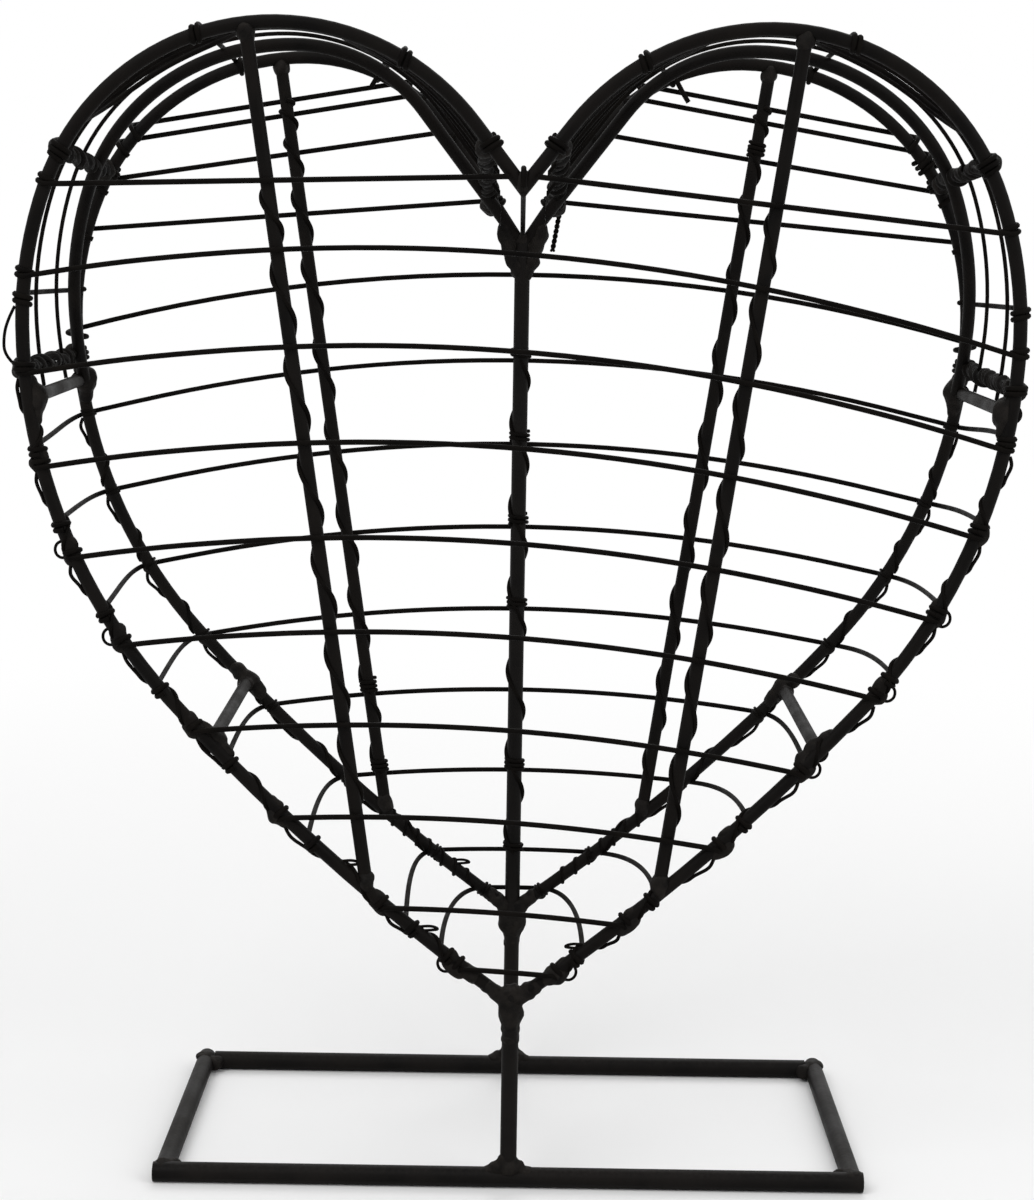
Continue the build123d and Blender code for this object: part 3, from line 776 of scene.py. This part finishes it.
# tying wire along the ribs and the spine: one turn from each cross wire to the next
# short tight coils stand beside some of the cross wires, fewer where the least pick is higher
lashSet = {
    "wire": 0.00066, "margin": 0.012, "gap": -0.00030, "loose": 0.30,
    "coil": {"turns": 2.6, "more": 0.8, "pitch": 0.0014, "stand": 0.0004, "shift": 0.0010},
    "leastPick": {"front": 1.0, "back": 0.25, "spine": -0.3},
    "seed": 1.0, "nextSeed": 3.7,
}


def makeLashing(name, ends, inward, rodRadius, curves, node, seed, leastPick):
    s = lashSet
    foot, top = ends
    axis = (top - foot).normalized()
    length = (top - foot).length
    side = inward.cross(axis)
    reach = (rodRadius + s["wire"] + s["gap"]) / hug
    stops = []
    for curve in curves:
        at = halve(0, length, lambda d: (foot + axis * d).z > curve((foot + axis * d).x))
        if s["margin"] < at < length - s["margin"]:
            stops.append(at)
    stops.sort()
    points = []
    for low, high in zip(stops, stops[1:]):
        for i in range(perTurn):
            sway = s["loose"] * noise.noise(Vector((low * 90 + i * 0.8, seed, 0)))
            angle = 2 * pi / perTurn * i + sway
            points.append(foot + axis * (low + (high - low) * i / perTurn)
                          + (inward * cos(angle) + side * sin(angle)) * reach)
    points.append(foot + axis * stops[-1] + inward * reach)
    routes = [points]
    c = s["coil"]
    for i, at in enumerate(stops):
        pick = noise.noise(Vector((i * 2.3, seed, 9)))
        if pick > leastPick:
            spot = foot + axis * (at + c["shift"] * (1 + pick))
            turns = c["turns"] * (1 + c["more"] * pick)
            bound = rodRadius + c["stand"]
            routes.append(turnsRound(spot, inward, side, axis, seed + i, turns, bound, c["pitch"]))
    makeWires(name, routes, s["wire"], (node,))


def makeLashings(s):
    seed = s["seed"]
    for face, way in (("front", 1), ("back", -1)):
        for name, side in sides:
            curves = [rowCurve(face, i) for i in range(rowSet["count"] + 1)]
            more = rowSet["backLobe"] if face == "back" else [rowSet["frontTop"][name]]
            curves += [lobeCurve(row) for row in more]
            piece = face + name.capitalize() + "RibLashing"
            node = face + "_" + name + "_rib_lashing"
            ends = ribAxis(face, side)
            makeLashing(piece, ends, toBack * way, heart["rod"], curves, node, seed, s["leastPick"][face])
            seed += s["nextSeed"]
    h = heart["back"]
    ends = Vector((0, h["y"], heart["tip"])), Vector((0, h["y"], h["cleft"]))
    curves = [rowCurve("back", i) for i in range(rowSet["count"])]
    least = s["leastPick"]["spine"]
    makeLashing("spineLashing", ends, -toBack, heart["stem"], curves, "spine_lashing", seed, least)


makeLashings(lashSet)
print("lashings made")

# thin wire along the rods, from the end of each cross wire to the next: loose at first, then once round
windSet = {
    "wire": 0.00055, "gap": -0.0003, "from": 0.0014, "to": 0.0022, "steps": 14, "straight": 0.36,
    "slit": 0.0008, "slitAt": 0.12, "slitWide": 0.16, "slack": 0.7, "vary": 1.6, "firstRow": 1,
    "tip": {"low": 0.0685, "high": 0.0920, "turns": 7, "wire": 0.00045, "loose": 0.22},
}


def tailAlong(face, side, high, low, seed):
    s = windSet
    chance = noise.noise(Vector((seed * 1.9, side * 2.3, heart[face]["y"] * 60)))
    slack = max(0, s["slack"] + s["vary"] * chance)
    points = []
    for i in range(s["steps"] + 1):
        t = i / s["steps"]
        spot, out = flankSpot(face, high + (low - high) * t, side)[:2]
        angle = 2 * pi * max(0, (t - s["straight"]) / (1 - s["straight"]))
        loose = s["slit"] * slack * max(0, 1 - abs(t - s["slitAt"]) / s["slitWide"])
        reach = (heart["rod"] + s["wire"] + s["gap"]) / hug + loose
        if i in (0, s["steps"]):
            reach = heart["rod"]
        points.append(spot + (out * cos(angle) + toBack * sin(angle)) * reach)
    return points


def tipCoil(side, t):
    # close turns on the back rod beside the tip
    count = t["turns"] * perTurn
    points = []
    for i in range(count + 1):
        spot, out = flankSpot("back", t["high"] + (t["low"] - t["high"]) * i / count, side)[:2]
        angle = side + 2 * pi / perTurn * i
        loose = 1 + t["loose"] * max(0, noise.noise(Vector((i * 0.7, side, side))))
        reach = (heart["rod"] + t["wire"] + windSet["gap"]) / hug * loose
        points.append(spot + (out * cos(angle) + toBack * sin(angle)) * reach)
    return points


def makeWindings(s):
    for face in ("front", "back"):
        routes = []
        for side in (-1, 1):
            for index in range(s["firstRow"], rowSet["count"] - (face == "back")):
                high = rowEnd(face, rowCurve(face, index), side)[0].z - s["from"]
                low = rowEnd(face, rowCurve(face, index + 1), side)[0].z + s["to"]
                routes.append(tailAlong(face, side, high, low, index))
        makeWires(face + "RodWindings", routes, s["wire"])
    routes = [tipCoil(side, s["tip"]) for side in (-1, 1)]
    makeWires("backTipWindings", routes, s["tip"]["wire"])


makeWindings(windSet)
print("windings made")

# bundles of wire from front rod to back rod: over the upper spacers, at the shoulders and by the cleft
bundleSet = {
    "left": {"front": 0.2440, "back": 0.2430},
    "right": {"front": 0.2415, "back": 0.2430},
    "shoulder": (28.5, 29.5), "cleft": 0.0095, "outside": 0.4, "inside": -0.5, "inset": 0.003,
    "wire": 0.00080, "strands": 5, "turns": 4.0, "spread": 0.0019, "rough": 0.75, "gap": -0.0001,
    "vary": 0.6, "sway": 1.4,
    "ring": {"turns": 2.3, "pitch": 0.0016, "start": 0.5},
    "frontLump": (0.0032, 0.0036, 0.0034), "backLump": (0.0034, 0.0040, 0.0036),
}


def bundleStrand(a, b, phase, seed):
    # one strand that winds unevenly round the line from a to b
    s = bundleSet
    axis = (b - a).normalized()
    side = axis.cross(Vector((0, 0, 1))).normalized()
    up = side.cross(axis)
    turns = s["turns"] * (1 + s["vary"] * noise.noise(Vector((phase * 2.7, seed, 1))))
    count = round(turns * perTurn)
    points = []
    for i in range(count + 1):
        t = i / count
        wide = s["spread"] * (1 + s["rough"] * noise.noise(Vector((t * 8, seed, phase))))
        angle = phase + 2 * pi * turns * t + s["sway"] * noise.noise(Vector((t * 6, phase, seed)))
        points.append(a.lerp(b, t) + (up * cos(angle) + side * sin(angle)) * wide)
    return points


def makeBundles(s):
    reach = heart["rod"] + s["wire"] + s["gap"]
    ring = s["ring"]
    lumps = []
    for name, side in sides:
        routes = []
        low = flankSpot("front", s[name]["front"], side), flankSpot("back", s[name]["back"], side)
        high = lobeSpot("front", s["shoulder"][0], side), lobeSpot("back", s["shoulder"][1], side)
        inner = innerSpot("front", s["cleft"], side), innerSpot("back", s["cleft"], side)
        for (f, b), rise in ((low, s["outside"]), (high, s["outside"]), (inner, s["inside"])):
            a = f[0] + f[1] * reach * rise + toBack * s["inset"]
            z = b[0] + b[1] * reach * rise - toBack * s["inset"]
            for i in range(s["strands"]):
                routes.append(bundleStrand(a, z, 2 * pi * i / s["strands"], side * 3.1 + f[0].z))
            for spot, out, along in (f, b):
                hub = spot - along * ring["pitch"]
                wound = turnsRound(hub, out, toBack, along, ring["start"], ring["turns"], reach, ring["pitch"])
                routes.append(wound)
            lumps.append((a, s["frontLump"]))
            lumps.append((z, s["backLump"]))
        makeWires(name + "Bundles", routes, s["wire"])
    makeWelds("bundleWelds", lumps)


makeBundles(bundleSet)
print("bundles made")

# more wire laid in beside the rim: along the inner limbs and over the outer part of each lobe
# depths are shares of the way from the front rod to the back rod, and the ends are drawn in to the front rod
rimSet = {
    "limb": {"depths": (0.16, 0.26, 0.36, 0.46, 0.56), "from": 0.0095, "to": 0.0560, "wide": 0.0},
    "lobe": {"depths": (0.14, 0.24, 0.34), "from": 84.0, "to": 36.0, "wide": 0.5},
    "steps": 12, "stray": 0.04, "draw": 0.92,
}


def rimRoute(spotAt, lay, depth, side):
    s = rimSet
    points = []
    for i in range(s["steps"] + 1):
        t = i / s["steps"]
        at = lay["from"] + (lay["to"] - lay["from"]) * t
        stray = s["stray"] * noise.noise(Vector((t, depth * 40, side * 2)))
        drawn = s["draw"] * abs((t - lay["wide"]) / (1 - lay["wide"])) ** 3
        share = (depth + stray) * (1 - drawn)
        points.append(spotAt("front", at, side)[0].lerp(spotAt("back", at, side)[0], share))
    return points


def makeRimLay(s):
    for name, side in sides:
        routes = []
        for key, spotAt in (("limb", innerSpot), ("lobe", lobeSpot)):
            routes += [rimRoute(spotAt, s[key], depth, side) for depth in s[key]["depths"]]
        makeWires(name + "RimLay", routes, heart["wire"])


makeRimLay(rimSet)
print("rim wire laid in")

# loose ends: small eyes and rings on the rods, cut stubs, a short coil, a free loop
# and a twisted end by the cleft
looseSet = {
    "eyes": [("front", -1, 0.0985), ("front", -1, 0.0788), ("back", -1, 0.0730), ("front", 1, 0.0740)],
    "eyeSteps": [(-0.0008, 0.0), (0.0020, 0.0006), (0.0040, 0.0002),
                 (0.0043, -0.0010), (0.0026, -0.0014), (-0.0008, -0.0018)],
    "rings": [(-1, 0.1925), (-1, 0.1675), (-1, 0.0710), (1, 0.1765), (1, 0.1545), (1, 0.1315), (1, 0.0690)],
    "ringSteps": [(-0.0006, 0.0024), (0.0010, 0.0026), (0.0026, 0.0010),
                  (0.0027, -0.0010), (0.0012, -0.0026), (-0.0006, -0.0022)],
    "thin": 0.00045,
    "freeLoop": [(-0.1447, -0.0503, 0.2615), (-0.1468, -0.0505, 0.2575), (-0.1480, -0.0505, 0.2525),
                 (-0.1478, -0.0505, 0.2475), (-0.1452, -0.0500, 0.2450)],
    "stubs": [((-0.0447, 0.0468, 0.3385), (-0.0468, 0.0462, 0.3345), (-0.0493, 0.0466, 0.3305)),
              ((0.0470, 0.0468, 0.3370), (0.0496, 0.0462, 0.3315), (0.0526, 0.0466, 0.3270))],
    "coil": {"angle": 33.6, "turns": 2.5, "pitch": 0.0019, "stand": 0.0001},
    "twist": {"top": (0.0125, 0.0535, 0.2950), "foot": (0.0098, 0.0538, 0.2790), "wire": 0.00045,
              "turns": 5, "lay": 1.05},
}


def makeThinEnds(s):
    routes = [[Vector(p) for p in s["freeLoop"]]]
    for face, side, height in s["eyes"]:
        spot, out, along = flankSpot(face, height, side)
        foot = spot - out * heart["rod"]
        level = Vector((-side, 0, 0))
        routes.append([foot + level * u + along * v for u, v in s["eyeSteps"]])
    for side, height in s["rings"]:
        spot, out, along = flankSpot("front", height, side)
        routes.append([spot + out * (heart["rod"] + u) + along * v for u, v in s["ringSteps"]])
    makeWires("thinEnds", routes, s["thin"])


def makeCutEnds(s):
    routes = [[Vector(p) for p in stub] for stub in s["stubs"]]
    c = s["coil"]
    spot, out, along = lobeSpot("back", c["angle"], 1)
    reach = heart["rod"] + heart["wire"] + c["stand"]
    routes.append(turnsRound(spot, out, toBack, along, 0, c["turns"], reach, c["pitch"]))
    makeWires("cutEnds", routes, heart["wire"])


def makeTwistedEnd(t):
    top, foot = Vector(t["top"]), Vector(t["foot"])
    count = t["turns"] * perTurn
    strands = []
    for phase in (0, pi):
        strand = []
        for i in range(count + 1):
            angle = phase + i * 2 * pi / perTurn
            away = Vector((cos(angle), sin(angle), 0)) * t["wire"] * t["lay"]
            strand.append(top.lerp(foot, i / count) + away)
        strands.append(strand)
    makeWires("twistedEnd", strands, t["wire"])


makeThinEnds(looseSet)
makeCutEnds(looseSet)
makeTwistedEnd(looseSet["twist"])
print("loose ends made")
